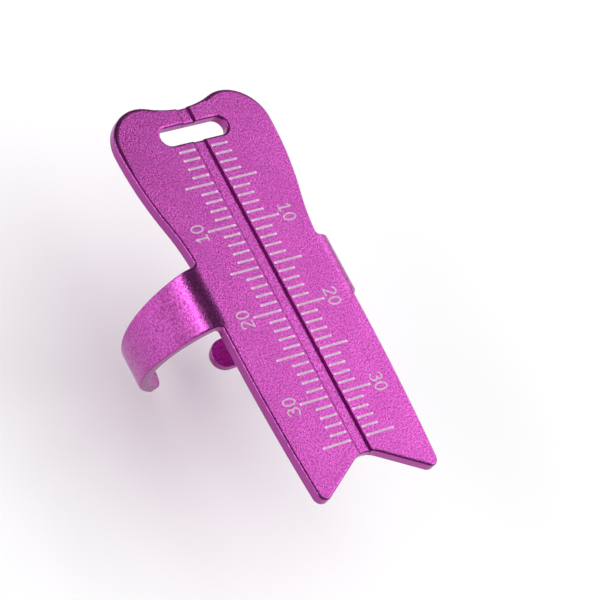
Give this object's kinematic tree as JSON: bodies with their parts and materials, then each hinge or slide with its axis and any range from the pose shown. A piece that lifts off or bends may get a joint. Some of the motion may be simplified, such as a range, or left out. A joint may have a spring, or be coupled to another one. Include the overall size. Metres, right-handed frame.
{
  "type": "finger ruler",
  "caption": "Flat anodised metal finger ruler with a millimetre scale, instrument slot, centre groove and V-notch, worn on an open ring of bent bands.",
  "frame": {"origin": "on the axis of the finger opening, midway along the ring bands and 7.7 mm below the scale face", "axes": "+Y along the finger and the scale, towards the slot end; +Z out of the scale face; +X to the right when the scale is read with the slot end up"},
  "size_m": [0.0234, 0.0449, 0.0188],
  "materials": {
    "anodised_sheet": "magenta anodised, fine blasted grain, satin",
    "laser_mark": "laser-bleached oxide, matt, pinkish white"
  },
  "bodies": {
    "plate": {"ruler_plate": "anodised_sheet", "left_short_marks": "laser_mark", "left_long_marks": "laser_mark", "left_numeral_10": "laser_mark", "left_numeral_20": "laser_mark", "left_numeral_30": "laser_mark", "right_short_marks": "laser_mark", "right_long_marks": "laser_mark", "right_numeral_10": "laser_mark", "right_numeral_20": "laser_mark", "right_numeral_30": "laser_mark"},
    "left_shoulder": {"left_band_shoulder": "anodised_sheet"},
    "left_side": {"left_band_side": "anodised_sheet"},
    "left_tip": {"left_band_tip": "anodised_sheet"},
    "right_shoulder": {"right_band_shoulder": "anodised_sheet"},
    "right_side": {"right_band_side": "anodised_sheet"},
    "right_tip": {"right_band_tip": "anodised_sheet"}
  },
  "joints": [
    {"name": "left_root_flex", "type": "hinge", "parent": "plate", "child": "left_shoulder", "pos_m": [-0.00933, 0, 0.00637], "axis": [0, 1, 0], "range_deg": [-5, 7]},
    {"name": "left_side_flex", "type": "hinge", "parent": "left_shoulder", "child": "left_side", "pos_m": [-0.01151, 0, 0.00046], "axis": [0, 1, 0], "range_deg": [-5, 7]},
    {"name": "left_tip_flex", "type": "hinge", "parent": "left_side", "child": "left_tip", "pos_m": [-0.01001, 0, -0.00603], "axis": [0, 1, 0], "range_deg": [-5, 7]},
    {"name": "right_root_flex", "type": "hinge", "parent": "plate", "child": "right_shoulder", "pos_m": [0.00882, 0, 0.00652], "axis": [0, -1, 0], "range_deg": [-5, 7]},
    {"name": "right_side_flex", "type": "hinge", "parent": "right_shoulder", "child": "right_side", "pos_m": [0.01072, 0, 0.0011], "axis": [0, -1, 0], "range_deg": [-5, 7]},
    {"name": "right_tip_flex", "type": "hinge", "parent": "right_side", "child": "right_tip", "pos_m": [0.00926, 0, -0.00523], "axis": [0, -1, 0], "range_deg": [-5, 7]}
  ],
  "couplings": [
    {"joint": "left_side_flex", "follows": "left_root_flex", "ratio": 1},
    {"joint": "left_tip_flex", "follows": "left_root_flex", "ratio": 1},
    {"joint": "right_side_flex", "follows": "right_root_flex", "ratio": 1},
    {"joint": "right_tip_flex", "follows": "right_root_flex", "ratio": 1}
  ]
}
